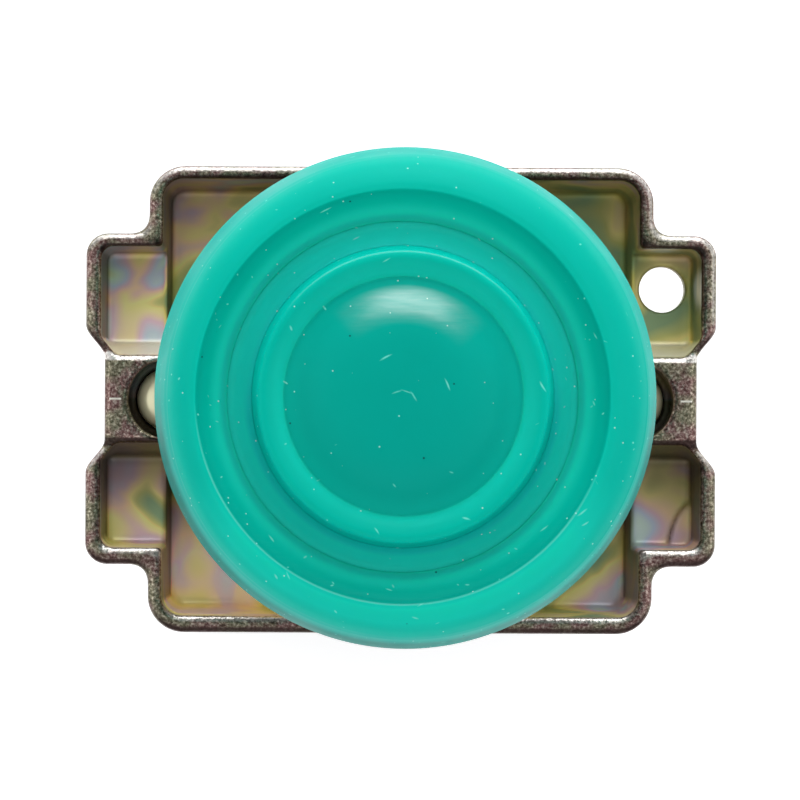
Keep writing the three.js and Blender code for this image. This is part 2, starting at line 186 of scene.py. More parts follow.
def bumped(tree, surface, height, strength, distance):
    bump = add(tree, "ShaderNodeBump", {"Height": height, "Strength": strength, "Distance": distance})
    tree.links.new(bump.outputs[0], surface.inputs["Normal"])


def new_finish(name):
    finish = bpy.data.materials.new(name)
    finish.use_nodes = True
    tree = finish.node_tree
    surface = tree.nodes["Principled BSDF"]
    place = add(tree, "ShaderNodeTexCoord").outputs["Object"]
    return finish, tree, surface, place


def colour_run(tree, factor, stops):
    run = add(tree, "ShaderNodeValToRGB", {"Fac": factor})
    while len(run.color_ramp.elements) < len(stops):
        run.color_ramp.elements.new(0.5)
    for element, (position, colour) in zip(run.color_ramp.elements, stops):
        element.position = position
        element.color = colour
    return run.outputs["Color"]


def effect_group(name, inputs, outputs):
    """An empty shader node group. inputs are (name, kind, value) and outputs (name, kind)."""
    group = bpy.data.node_groups.new(name, "ShaderNodeTree")
    for label, kind, value in inputs:
        socket = group.interface.new_socket(label, in_out="INPUT", socket_type=kind)
        if value is not None:
            socket.default_value = value
    for label, kind in outputs:
        group.interface.new_socket(label, in_out="OUTPUT", socket_type=kind)
    return group, group.nodes.new("NodeGroupInput"), group.nodes.new("NodeGroupOutput")


# Fine handling marks: scratches that run one way, and a soft cloudiness.
handling, given, put = effect_group(
    "handling_marks",
    [("Place", "NodeSocketVector", None), ("Size", "NodeSocketFloat", 900.0)],
    [("Scratches", "NodeSocketFloat"), ("Cloud", "NodeSocketFloat")],
)
turned_place = add(handling, "ShaderNodeMapping", {
    "Vector": given.outputs["Place"], "Rotation": (0.3, 0.2, 0.7), "Scale": (1.0, 0.04, 0.3)})
lines = noise(handling, turned_place.outputs[0], given.outputs["Size"], 3.0)
thin = ranged(handling, lines.outputs["Fac"], 0.66, 0.72)
cloud = noise(handling, given.outputs["Place"], 260.0, 4.0)
handling.links.new(thin, put.inputs["Scratches"])
handling.links.new(cloud.outputs["Fac"], put.inputs["Cloud"])


def with_marks(tree, place, size=900.0):
    marks = add(tree, "ShaderNodeGroup", node_tree=handling)
    tree.links.new(place, marks.inputs["Place"])
    marks.inputs["Size"].default_value = size
    return marks


def bare_metal(name, colour, rough, size=900.0):
    """A plated or bright metal with handling marks in its gloss."""
    finish, tree, surface, place = new_finish(name)
    marks = with_marks(tree, place, size)
    surface.inputs["Metallic"].default_value = 1.0
    dull = tuple(c * 0.72 for c in colour[:3]) + (1.0,)
    tone = colour_run(tree, marks.outputs["Cloud"], [(0.35, dull), (0.62, colour)])
    tree.links.new(tone, surface.inputs["Base Color"])
    gloss = ranged(tree, marks.outputs["Cloud"], 0.3, 0.7, rough * 0.75, rough * 1.35)
    tree.links.new(gloss, surface.inputs["Roughness"])
    bumped(tree, surface, marks.outputs["Scratches"], 0.25, 0.00002)
    return finish


bright_plate = bare_metal("bright_plate", srgb(205, 205, 203), 0.16)

head_section = rounded([
    (4.4, -8.8, 0.2), (9.4, -8.8, 0.3), (9.4, -10.7, 0.15), (11.0, -10.7, 0.4), (11.0, 1.05, 0.2),
    (13.0, 1.05, 0.1), (13.0, 2.2, 0.15), (9.4, 2.2, 0.3), (9.4, -6.8, 0.3), (4.4, -6.8, 0.3),
])
head = turned("head_casting", head_section, bright_plate)


def piece_of(shape, name, finish):
    """A bmesh in metres becomes a piece."""
    mesh = bpy.data.meshes.new(name)
    shape.to_mesh(mesh)
    shape.free()
    mesh.materials.append(finish)
    return placed(name, mesh)


def block_piece(name, low, high, finish, bevel=0.2):
    """A plain moulded or cast block with its edges broken."""
    shape = bmesh.new()
    bmesh.ops.create_cube(shape, size=1.0)
    size = [h - l for l, h in zip(low, high)]
    middle = [(h + l) / 2 for l, h in zip(low, high)]
    for v in shape.verts:
        v.co = Vector([c * s + m for c, s, m in zip(v.co, size, middle)]) * MM
    if bevel:
        bmesh.ops.bevel(shape, geom=list(shape.edges), offset=bevel * MM, segments=3,
                        profile=0.5, affect="EDGES")
    return piece_of(shape, name, finish)


def sector_piece(name, inner, outer, middle, half, low, high, finish):
    """Part of a ring about Z between two angles in degrees."""
    steps = 10
    vertices = []
    for z in (low, high):
        for r in (inner, outer):
            for k in range(steps + 1):
                a = math.radians(middle - half + 2 * half * k / steps)
                vertices.append((r * math.cos(a), r * math.sin(a), z))
    n = steps + 1
    faces = []
    for k in range(steps):
        faces.append((k, k + 1, n + k + 1, n + k))
        faces.append((2 * n + k, 3 * n + k, 3 * n + k + 1, 2 * n + k + 1))
        faces.append((k, 2 * n + k, 2 * n + k + 1, k + 1))
        faces.append((n + k, n + k + 1, 3 * n + k + 1, 3 * n + k))
    for k in (0, steps):
        faces.append((k, n + k, 3 * n + k, 2 * n + k))
    piece = new_piece(name, vertices, faces, finish, smooth=False)
    face_outwards(piece)
    return piece


def combine(piece, tools, operation):
    """Joins tool pieces to a piece, or cuts them out of it, and removes them."""
    for tool in tools:
        cut = piece.modifiers.new("cut", "BOOLEAN")
        cut.operation = operation
        cut.solver = "EXACT"
        cut.object = tool
    seen = bpy.context.evaluated_depsgraph_get()
    solid = bpy.data.meshes.new_from_object(piece.evaluated_get(seen))
    piece.modifiers.clear()
    piece.data = solid
    for tool in tools:
        bpy.data.objects.remove(tool)
    return piece


combine(head, [
    sector_piece("lug", 10.6, 12.3, middle, 10, -10.6, -9.0, bright_plate) for middle in (90, 270)
] + [block_piece("key", (-1.3, 10.6, -5.0), (1.3, 12.0, -0.1), bright_plate, 0.25)], "UNION")
shade(head)
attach(head, "head")
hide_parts("head_body")

# ---- Bezel ring ----
# A brass ring pressed over the flange and chrome plated. Its groove holds the boot's bead, and
# only its lower edge shows under the boot's skirt.

bezel_section = rounded([
    (13.05, 1.05, 0.08), (14.0, 1.05, 0.15), (14.0, 3.0, 0.1), (13.6, 3.2, 0.1), (13.6, 3.9, 0.1),
    (14.0, 4.1, 0.1), (14.0, 6.5, 0.3), (13.6, 7.4, 0.2), (13.1, 7.8, 0.2), (12.65, 7.8, 0.2),
    (12.05, 7.2, 0.2), (11.75, 6.6, 0.2), (11.75, 2.25, 0.1), (13.05, 2.25, 0.1),
])
bezel = shade(turned("bezel", bezel_section, bright_plate))
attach(bezel, "head")
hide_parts("bezel_ring")

# ---- Panel gasket ----
# A moulded nitrile ring that seals the head on the panel. It has a flat seat and a thin rib on
# its rim, and is slipped over the neck.


def soft_moulding(name, colour, rough, grain=2600.0, relief=0.00002):
    """Matt rubber or satin plastic: a fine moulded grain and a faint bloom."""
    finish, tree, surface, place = new_finish(name)
    marks = with_marks(tree, place, 1200.0)
    pale = tuple(min(1.0, c * 1.35 + 0.012) for c in colour[:3]) + (1.0,)
    tone = colour_run(tree, marks.outputs["Cloud"], [(0.38, colour), (0.75, pale)])
    tree.links.new(tone, surface.inputs["Base Color"])
    gloss = ranged(tree, marks.outputs["Cloud"], 0.3, 0.7, rough * 0.85, min(1.0, rough * 1.15))
    tree.links.new(gloss, surface.inputs["Roughness"])
    bumped(tree, surface, noise(tree, place, grain, 2.0).outputs["Fac"], 0.35, relief)
    return finish


nitrile = soft_moulding("nitrile", srgb(28, 28, 29), 0.7)
gasket = shade(turned("gasket", rounded([
    (11.15, 0.0, 0.1), (13.2, 0.0, 0.1), (13.35, 0.12, 0.06), (13.6, 0.12, 0.06), (13.75, 0.0, 0.1),
    (14.15, 0.0, 0.2), (14.15, 1.0, 0.2), (11.15, 1.0, 0.1),
]), nitrile))
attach(gasket, "head")
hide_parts("panel_gasket")

# ---- Stem, cap, disc and clip ----
# The moving core: a moulded cap under the boot, a nylon stem pushed into it, a wide disc on the
# stem's far end that pushes the contact blocks, and a spring clip that keeps the disc on.

nylon = soft_moulding("nylon", srgb(226, 222, 205), 0.42)
green_moulding = soft_moulding("green_moulding", srgb(24, 128, 74), 0.38)
spring_wire = bare_metal("spring_wire", srgb(176, 174, 168), 0.24, 1800.0)

cap = shade(turned("cap", rounded([
    (0, 7.9), (3.05, 7.9, 0.1), (3.05, 5.2, 0.15), (9.0, 5.2, 0.2), (9.0, 6.3, 0.2), (8.2, 6.35, 0.2),
    (7.95, 7.0, 0.3), (7.75, 9.6, 0.2), (7.35, 9.25, 0.15), (6.85, 8.7, 0.2), (6.15, 9.0, 0.2),
    (5.3, 9.65, 0.4), (4.3, 10.2, 0.4), (0, 10.5),
]), green_moulding, 96))
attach(cap, "button")
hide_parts("push_cap")

stem = shade(turned("stem", rounded([
    (0, -11.5), (2.4, -11.5, 0.25), (2.4, -11.1, 0.05), (1.9, -11.1, 0.05), (1.9, -10.55, 0.05),
    (2.4, -10.55, 0.05), (2.4, -8.95, 0.1), (4.2, -8.95, 0.2), (4.2, -2.6, 0.1), (4.9, -2.6, 0.2),
    (4.9, 5.15, 0.15), (2.95, 5.15, 0.1), (2.95, 7.6, 0.3), (0, 7.6),
]), nylon, 72))
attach(stem, "button")
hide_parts("push_stem")

disc = shade(turned("disc", rounded([
    (2.45, -10.5, 0.1), (3.9, -10.5, 0.1), (4.1, -10.3, 0.1), (7.9, -10.3, 0.1), (8.1, -10.5, 0.1),
    (9.1, -10.5, 0.3), (9.1, -9.0, 0.25), (2.45, -9.0, 0.1),
]), nylon, 96))
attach(disc, "button")
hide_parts("actuator_disc")

clip = turned("clip", rounded([
    (1.95, -11.05, 0.1), (3.9, -11.05, 0.12), (3.9, -10.6, 0.12), (1.95, -10.6, 0.1),
]), spring_wire, 72)
combine(clip, [block_piece("mouth", (-1.5, 0.0, -12.0), (1.5, 5.0, -10.0), spring_wire, 0.3)],
        "DIFFERENCE")
shade(clip)
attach(clip, "button")
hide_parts("retaining_clip")

# ---- Coil springs ----
# Three springs of bright wire: the return spring round the stem, and two small ones inside the
# contact block. Each is wound with closed ends.


def coil_tree():
    """Geometry nodes that wind a spring. It has closed end turns and an even middle."""
    tree = bpy.data.node_groups.new("wind_coil", "GeometryNodeTree")
    tree.interface.new_socket("Geometry", in_out="INPUT", socket_type="NodeSocketGeometry")
    for label, value in (("Mean Radius", 0.005), ("Wire Radius", 0.0004), ("Length", 0.01),
                         ("Turns", 6.0), ("Across", 0.0), ("Bottom", 0.0)):
        socket = tree.interface.new_socket(label, in_out="INPUT", socket_type="NodeSocketFloat")
        socket.default_value = value
    tree.interface.new_socket("Finish", in_out="INPUT", socket_type="NodeSocketMaterial")
    tree.interface.new_socket("Geometry", in_out="OUTPUT", socket_type="NodeSocketGeometry")
    given = tree.nodes.new("NodeGroupInput").outputs
    put = tree.nodes.new("NodeGroupOutput")

    def sum_of(kind, *values):
        return maths(tree, kind, *values)

    path = add(tree, "GeometryNodeCurvePrimitiveLine").outputs[0]
    path = add(tree, "GeometryNodeResampleCurve", {"Curve": path, "Count": 220}).outputs[0]
    along = tree.nodes.new("GeometryNodeSplineParameter").outputs["Factor"]
    angle = sum_of("MULTIPLY", sum_of("MULTIPLY", along, given["Turns"]), TAU)
    # The pitch eases in from the closed end turns.
    eased = ranged(tree, along, 0.1, 0.9)
    closed = sum_of("MULTIPLY", sum_of("MULTIPLY", along, given["Turns"]), given["Wire Radius"])
    free = sum_of("SUBTRACT", given["Length"], sum_of("MULTIPLY", given["Wire Radius"], 2.0))
    flat = sum_of("MULTIPLY", given["Turns"], given["Wire Radius"])
    height = sum_of("ADD", closed, sum_of("MULTIPLY", eased, sum_of("SUBTRACT", free, flat)))
    height = sum_of("ADD", sum_of("ADD", height, given["Wire Radius"]), given["Bottom"])
    x = sum_of("MULTIPLY", sum_of("COSINE", angle), given["Mean Radius"])
    y = sum_of("ADD", sum_of("MULTIPLY", sum_of("SINE", angle), given["Mean Radius"]), given["Across"])
    spot = add(tree, "ShaderNodeCombineXYZ", {"X": x, "Y": y, "Z": height}).outputs[0]
    path = add(tree, "GeometryNodeSetPosition", {"Geometry": path, "Position": spot}).outputs[0]
    wire = add(tree, "GeometryNodeCurvePrimitiveCircle", {
        "Resolution": 12, "Radius": given["Wire Radius"]}).outputs[0]
    tube = add(tree, "GeometryNodeCurveToMesh", {
        "Curve": path, "Profile Curve": wire, "Fill Caps": True}).outputs[0]
    tube = add(tree, "GeometryNodeSetShadeSmooth", {"Geometry": tube}).outputs[0]
    tube = add(tree, "GeometryNodeRealizeInstances", {"Geometry": tube}).outputs[0]
    tube = add(tree, "GeometryNodeSetMaterial", {"Geometry": tube, "Material": given["Finish"]})
    tree.links.new(tube.outputs[0], put.inputs[0])
    return tree


def grown(name, tree, values):
    """A piece made by a node tree from its named inputs, as a plain mesh."""
    piece = placed(name, bpy.data.meshes.new(name))
    maker = piece.modifiers.new("maker", "NODES")
    maker.node_group = tree
    sockets = {s.name: s.identifier for s in tree.interface.items_tree if s.in_out == "INPUT"}
    for label, value in values.items():
        maker[sockets[label]] = value
    seen = bpy.context.evaluated_depsgraph_get()
    made = bpy.data.meshes.new_from_object(piece.evaluated_get(seen))
    piece.modifiers.clear()
    piece.data = made
    return piece


wind_coil = coil_tree()
block_axis = -7.3
# Node, body, mean radius, wire radius, back end, front end, turns and distance from the axis, then the
# joint that flattens the spring, the end that stays put and the share of its length that is left. These
# last three are not used here.
springs = {
    "return_coil": ("return_spring", "head", 5.7, 0.45, -6.75, 5.15, 6.5, 0.0,
                    "button_press", -6.75, 0.66),
    "plunger_coil": ("plunger_spring", "collar", 2.0, 0.25, -41.85, -31.05, 9.0, block_axis,
                     "plunger_press", -41.85, 0.63),
    "bridge_coil": ("bridge_spring", "block_plunger", 1.1, 0.2, -26.95, -22.55, 6.0, block_axis,
                    "bridge_lag", -22.55, 0.58),
}
for name, (node, body, radius, wire, bottom, top, turns, across, joint, seat, keep) in springs.items():
    coil = grown(name, wind_coil, {
        "Mean Radius": radius * MM, "Wire Radius": wire * MM, "Length": (top - bottom) * MM,
        "Turns": turns, "Across": across * MM, "Bottom": bottom * MM, "Finish": spring_wire})
    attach(coil, body)
    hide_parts(node)
    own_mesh(coil)

# ---- Boot ----
# One silicone moulding in turquoise, slightly see-through, stretched over the bezel. Its rim
# stays on the bezel, and its middle is a dome and a cupped ring on a thin rolling web.


def bend(points, steps=6):
    """A smooth run through the points of a section, its first and last points included."""
    p = [np.array(q, float) for q in points]
    p = [2 * p[0] - p[1]] + p + [2 * p[-1] - p[-2]]
    run = []
    for i in range(1, len(p) - 2):
        for step in range(steps):
            t = step / steps
            run.append(tuple(0.5 * (
                2 * p[i] + (p[i + 1] - p[i - 1]) * t
                + (2 * p[i - 1] - 5 * p[i] + 4 * p[i + 1] - p[i + 2]) * t * t
                + (3 * p[i] - p[i - 1] - 3 * p[i + 1] + p[i + 2]) * t ** 3)))
    return run + [tuple(p[-2])]


boot_shift = 0.32


def window(angle, bearing, spread):
    """1 round a bearing in degrees and 0 outside its spread, with soft ends."""
    return np.clip((np.cos(angle - math.radians(bearing)) - math.cos(math.radians(spread))) / 0.3, 0, 1)


def stored(tree, label):
    """A value that store() kept on the piece."""
    return add(tree, "ShaderNodeAttribute", attribute_name=label).outputs["Fac"]


def store(piece, **layers):
    """Keeps a value for each vertex on a piece, for its finish to read by name."""
    for label, values in layers.items():
        layer = piece.data.attributes.new(label, "FLOAT", "POINT")
        layer.data.foreach_set("value", values.astype(np.float32))


def mark_boot(piece, edges, tones, side=0.0, width=0.1):
    """Stores how near each point is to the edges that get a painted highlight, given as [r, z, bearing,
    spread], and how pale the silicone is painted at each distance from the axis, given as [r, tone]. The
    tones are the silicone's own paleness where it is thick or thin, with painted light in the trough and
    in the valley round the dome and painted shade down the skirt's side. Part of the light and shade is
    laid in here by bearing. The near side is darker round the ring and, by the amount given as side, on
    the skirt, and paler on top of the rim. All in millimetres and degrees."""
    spots = np.array([v.co for v in piece.data.vertices]) / MM
    r, z = np.hypot(spots[:, 0], spots[:, 1]), spots[:, 2]
    angle = np.arctan2(spots[:, 1], spots[:, 0])
    edge_highlights = [np.clip(1 - np.hypot(r - er, z - ez) / width, 0, 1) * window(angle, bearing, spread)
            for er, ez, bearing, spread in edges]
    near_side = 1 - window(angle, 90, 100)
    pale = np.interp(r, *zip(*tones)) - near_side * np.interp(
        r, (8.5, 8.7, 9.2, 9.5, 14.0, 14.9), (0, 0.28, 0.28, 0, 0, side))
    pale += 0.22 * window(angle, 270, 70) * np.interp(r, (12.25, 12.6, 13.4, 13.9), (0, 1, 1, 0))
    shoulder = np.interp(r, (4.2, 5.0, 6.0, 6.6), (0, 1, 1, 0)) * (z > 9) * window(angle, 86, 46)
    shoulder += 0.12 * window(angle, 262, 75) * np.interp(r, (11.4, 11.8, 12.3, 12.4), (0, 1, 1, 0))
    store(piece, rubbed=np.max(edge_highlights, axis=0), pale=pale, polish=shoulder)
    # The middle of the boot and its inner rim sit a little to the left of the axis.
    share = np.interp(r, (12.3, 14.5), (1, 0)) * (z > 7.6)
    spots[:, 0] -= boot_shift * share
    piece.data.vertices.foreach_set("co", (spots * MM).astype(np.float32).ravel())
    piece.data.update()


silicone, tree, surface, place = new_finish("silicone")
cloud = noise(tree, place, 90.0, 3.0).outputs["Fac"]
# The silicone's tone by place: the paleness that mark_boot stored, with its painted light and shade,
# varied a little at random.
pale = maths(tree, "MULTIPLY_ADD", cloud, 0.16, stored(tree, "pale"))
tone = colour_run(tree, pale, [
    (0.0, srgb(0, 112, 104)), (0.2, srgb(0, 166, 152)), (0.5, srgb(0, 186, 168)),
    (0.75, srgb(20, 206, 186)), (1.0, srgb(22, 226, 190))])


def sparse_spots(tree, place, scale, share, size):
    """Small round spots in a share of the cells of a random pattern."""
    cells = add(tree, "ShaderNodeTexVoronoi", {"Vector": place, "Scale": scale, "Randomness": 1.0})
    spot = ranged(tree, cells.outputs["Distance"], size, size * 0.5)
    pick = add(tree, "ShaderNodeSeparateColor", {"Color": cells.outputs["Color"]})
    some = maths(tree, "GREATER_THAN", pick.outputs[0], 1 - share)
    return maths(tree, "MULTIPLY", spot, some)


# White dust, dark grit, and short pale fibres lying three ways.
dusty = mixed(tree, sparse_spots(tree, place, 1800.0, 0.24, 0.11), tone, srgb(190, 232, 222))
dusty = mixed(tree, sparse_spots(tree, place, 1150.0, 0.05, 0.1), dusty, srgb(14, 88, 82))
bent = noise(tree, place, 500.0, 1.0).outputs["Color"]
bent = add(tree, "ShaderNodeVectorMath", {0: bent, 1: (0.0006, 0.0006, 0.0)}, operation="MULTIPLY")
bent = add(tree, "ShaderNodeVectorMath", {0: bent.outputs[0], 1: place}, operation="ADD")
for turn, share in ((0.5, 0.3), (2.1, 0.3), (1.2, 0.2)):
    lie = add(tree, "ShaderNodeMapping", {
        "Vector": bent.outputs[0], "Rotation": (0, 0, turn), "Scale": (1.0, 7.0, 1.0)},
        vector_type="TEXTURE").outputs[0]
    dusty = mixed(tree, sparse_spots(tree, lie, 1400.0, share, 0.1), dusty, srgb(112, 220, 204))
# Painted highlights along the sharp edges that mark_boot picked out, laid on as a pale turquoise line.
rubbed = maths(tree, "MULTIPLY", stored(tree, "rubbed"), 0.35)
edged = mixed(tree, rubbed, dusty, srgb(150, 226, 212))
tree.links.new(edged, surface.inputs["Base Color"])
marks = with_marks(tree, place, 700.0)
skin = noise(tree, place, 1500.0, 3.0).outputs["Fac"]
relief = maths(tree, "MULTIPLY_ADD", marks.outputs["Scratches"], 0.5, skin)
bumped(tree, surface, relief, 0.25, 0.00003)
gloss = ranged(tree, marks.outputs["Cloud"], 0.3, 0.7, 0.36, 0.5)
tree.links.new(gloss, surface.inputs["Roughness"])
surface.inputs["Subsurface Weight"].default_value = 0.85
surface.inputs["Subsurface Radius"].default_value = (0.15, 1.0, 0.9)
surface.inputs["Subsurface Scale"].default_value = 0.0011
surface.inputs["IOR"].default_value = 1.41
surface.inputs["Specular IOR Level"].default_value = 0.06
# A glossier patch on the dome's far shoulder, in fine streaks across the button.
streak = add(tree, "ShaderNodeMapping", {
    "Vector": place, "Rotation": (0, 0, 0.12), "Scale": (0.09, 1.0, 0.3)}).outputs[0]
streak = noise(tree, streak, 3600.0, 4.0, Roughness=0.7).outputs["Fac"]
shine = maths(tree, "MULTIPLY", stored(tree, "polish"), ranged(tree, streak, 0.35, 0.65, 0.6))
tree.links.new(shine, surface.inputs["Coat Weight"])
surface.inputs["Coat IOR"].default_value = 2.3
surface.inputs["Coat Roughness"].default_value = 0.3

rim_section = (
    [(10.45, 7.985), (10.45, 8.0)]
    + bend([(10.5, 8.02), (10.9, 8.13), (11.35, 8.36), (11.8, 8.72), (12.1, 8.97), (12.26, 9.15)])
    + bend([(12.32, 9.2), (12.75, 9.15), (13.3, 8.87), (13.85, 8.36), (14.25, 7.72), (14.43, 7.3)])
    + bend([(14.5, 7.12), (14.76, 6.1), (15.06, 4.6), (15.23, 3.3), (15.245, 1.9)])
    + rounded([(15.245, 1.42, 0.15), (14.1, 1.42, 0.15), (14.1, 3.05, 0.1), (13.7, 3.25, 0.1),
               (13.7, 3.85, 0.1), (14.1, 4.05, 0.1), (14.1, 6.6, 0.2), (13.75, 7.5, 0.2),
               (13.2, 7.95, 0.2), (12.6, 7.95, 0.2), (11.8, 7.55, 0.2), (10.9, 7.5, 0.1),
               (10.9, 7.97, 0.05)])
)
rim = turned("boot_rim", rim_section, silicone, 192)
mark_boot(rim, [(12.29, 9.19, 262, 80), (14.47, 7.2, 0, 180)],
          [(10.4, 0.86), (11.0, 0.76), (11.6, 0.45), (12.22, 0.24), (12.34, 0.5), (14.2, 0.42),
           (14.8, 0.2)], 0.24)
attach(rim, "head")
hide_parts("boot_skirt")

web_section = (
    bend([(10.84, 7.9), (10.5, 7.93), (10.3, 7.98), (10.0, 8.1), (9.6, 8.42), (9.25, 8.78),
          (8.98, 9.05), (8.8, 9.12)], 4)
    + bend([(8.78, 8.96), (9.0, 8.88), (9.27, 8.61), (9.6, 8.26), (10.0, 7.94), (10.3, 7.82),
            (10.5, 7.78), (10.84, 7.76)], 4)
)
web = turned("boot_web", web_section, silicone, 192)
mark_boot(web, [(0, 0, 0, 180)], [(8.8, 0.7), (9.3, 0.9), (10.5, 0.84)])
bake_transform(web)

dome_section = (
    [(0, 10.6)] + bend([(2.2, 10.52), (4.4, 10.28), (5.4, 9.8), (6.2, 9.15), (6.85, 8.88)], 4)
    + [(7.35, 9.4), (7.8, 9.72), (8.05, 9.6), (8.12, 8.95), (8.2, 8.76), (8.88, 8.76)]
    + bend([(9.0, 8.9), (8.97, 9.04), (8.88, 9.3), (8.78, 9.65), (8.7, 10.0), (8.64, 10.3)])
    + bend([(8.58, 10.48), (8.44, 10.63), (8.2, 10.68), (7.9, 10.6), (7.6, 10.48), (7.34, 10.3),
            (7.16, 10.12), (7.06, 10.01)])
    + bend([(7.01, 10.01), (6.84, 10.08), (6.45, 10.26), (6.0, 10.5), (5.45, 10.82), (4.8, 11.08),
            (4.0, 11.28), (3.0, 11.4), (1.5, 11.48), (0.4, 11.5)])
    + [(0, 11.5)]
)
dome = turned("boot_dome_skin", dome_section, silicone, 192)
mark_boot(dome, [(8.52, 10.56, 90, 55)], [(0, 0.2), (6.0, 0.23), (6.95, 0.31), (7.1, 0.72),
                                          (7.6, 0.56), (8.3, 0.4), (9.0, 0.42)])
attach(dome, "button")
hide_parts("boot_dome")

# ---- Collar casting ----
# The zinc die casting that clamps the head from behind the panel: a tray with a raised rim, four
# ears, a land for each clamp screw and a bored boss. It is tumbled, then dipped in a yellow
# conversion coat that dries in rainbow patches.


def either(a, b, k):
    """Joins two shapes given by their depths, with a fillet of about k."""
    h = np.clip(0.5 + 0.5 * (b - a) / k, 0, 1)
    return b + (a - b) * h - k * h * (1 - h)


def both(a, b, k):
    """Keeps what is in both shapes, with the edge rounded by about k."""
    return -either(-a, -b, k)


def plan_box(x, y, half_x, half_y, radius):
    qx, qy = np.abs(x) - half_x + radius, np.abs(y) - half_y + radius
    outside = np.hypot(np.maximum(qx, 0), np.maximum(qy, 0))
    return outside + np.minimum(np.maximum(qx, qy), 0) - radius


def ease(low, high, value):
    t = np.clip((value - low) / (high - low), 0, 1)
    return t * t * (3 - 2 * t)


collar_front, collar_back = -6.5, -15.5
well_floor, ear_floor = -13.2, -10.7
clamp_offset = 14.8
spare_hole = (16.95, 7.27)
fixing_place = (17.2, -6.4)


def collar_outline(x, y):
    ay = np.abs(y)
    side = 20.0 - 1.2 * (1 - ease(2.6, 4.7, ay))
    ears = plan_box(x, y, side, 10.5, 1.4)
    return either(plan_box(x, y, 16.0, 14.8, 2.3), ears, 1.3)


def collar_cavity(x, y, z):
    """The hollow front of the tray and ears, less the lands, the boss and the corner pad."""
    ay = np.abs(y)
    deep = collar_front - z
    draft = 0.05 * deep
    well = both(plan_box(x, y - 0.13, 15.15, 13.88, 1.3) + draft, well_floor - z, 0.6)
    ear = both(plan_box(x, y - 0.12, 19.05, 9.57, 0.8) + draft, ear_floor - z, 0.5)
    hollow = both(either(well, ear, 0.35), collar_outline(x, y) + 0.6, 0.2)
    land = ay - 2.73 - 0.2 * deep
    boss = both(np.hypot(x, y) - 14.2 - 0.03 * deep, z + 7.0, 0.3)
    hollow = both(hollow, -either(land, boss, 0.5), 0.5)
    lobe = (np.hypot((x - 19.2) / 1.8, (y + 9.8) / 3.4) - 1) * 1.8
    return both(hollow, -both(lobe, z + 10.35, 0.15), 0.2)


def collar_depth(x, y, z):
    """How far inside the casting a point is, in millimetres, negative inside."""
    middle, half = (collar_front + collar_back) / 2, (collar_front - collar_back) / 2
    body = both(collar_outline(x, y), np.abs(z - middle) - half, 0.5)
    body = both(body, -collar_cavity(x, y, z), 0.42)
    r = np.hypot(x, y)
    body = both(body, 11.25 - r, 0.25)
    angle = np.degrees(np.arctan2(y, x)) % 180
    arc = r * 0.01745  # the length of one degree
    track = np.maximum(np.maximum(r - 12.6, (np.abs(angle - 108) - 30) * arc), z + 8.8)
    entry = np.maximum(r - 12.6, (np.abs(angle - 126) - 12) * arc)
    body = both(body, -np.minimum(track, entry), 0.15)
    clamp = np.hypot(np.abs(x) - clamp_offset, y)
    body = both(body, -np.minimum(clamp - 2.1, np.maximum(clamp - 2.5, -8.6 - z)), 0.2)
    spare = np.hypot(x - spare_hole[0], y - spare_hole[1])
    body = both(body, -np.minimum(spare - 1.48, np.maximum(spare - 1.9, z + 12.0)), 0.15)
    fixing = np.hypot(x - fixing_place[0], y - fixing_place[1])
    body = both(body, -np.maximum(fixing - 1.3, z + 11.6), 0.1)
    socket = np.maximum(plan_box(x + 16.9, y + 7.2, 1.5, 2.2, 0.3), z + 13.3)
    return both(body, -socket, 0.1)


